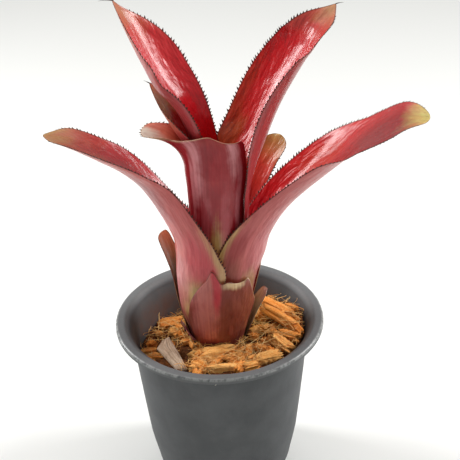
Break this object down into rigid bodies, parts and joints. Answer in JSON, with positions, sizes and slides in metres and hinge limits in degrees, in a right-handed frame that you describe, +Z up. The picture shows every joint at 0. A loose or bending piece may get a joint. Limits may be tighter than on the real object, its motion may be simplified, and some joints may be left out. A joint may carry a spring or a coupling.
{
  "type": "potted bromeliad",
  "caption": "Tubular bromeliad with glossy crimson, spine-edged leaves, in a round dark grey nursery pot filled with coconut-husk chips.",
  "frame": {"origin": "centre of the pot's flat underside", "axes": "+Z up along the plant, +X to the right and -Y toward the viewer of the picture"},
  "size_m": [0.1871, 0.11, 0.2702],
  "materials": {
    "pot_plastic": "satin, lightly scuffed on the rim",
    "husk": "rough, fibrous",
    "bark": "matt, weathered",
    "stem": "matt",
    "leaf_rose": "waxy, satin outside and glossy inside",
    "leaf_red": "waxy, glossy",
    "stub_dry": "dry, papery",
    "stub_maroon": "satin"
  },
  "bodies": {
    "root": {"pot": "pot_plastic", "husk_mix": "husk", "bark_chip": "bark", "stem_core": "stem", "leaf_left_low": "leaf_rose", "leaf_right_low": "leaf_rose", "leaf_right_high": "leaf_red", "leaf_tube": "leaf_red", "leaf_left_short": "leaf_red", "leaf_left_high": "leaf_red", "leaf_back": "leaf_red", "stub_left": "stub_dry", "stub_right": "stub_dry", "stub_front": "stub_maroon", "bract_left": "stub_maroon"}
  },
  "joints": []
}
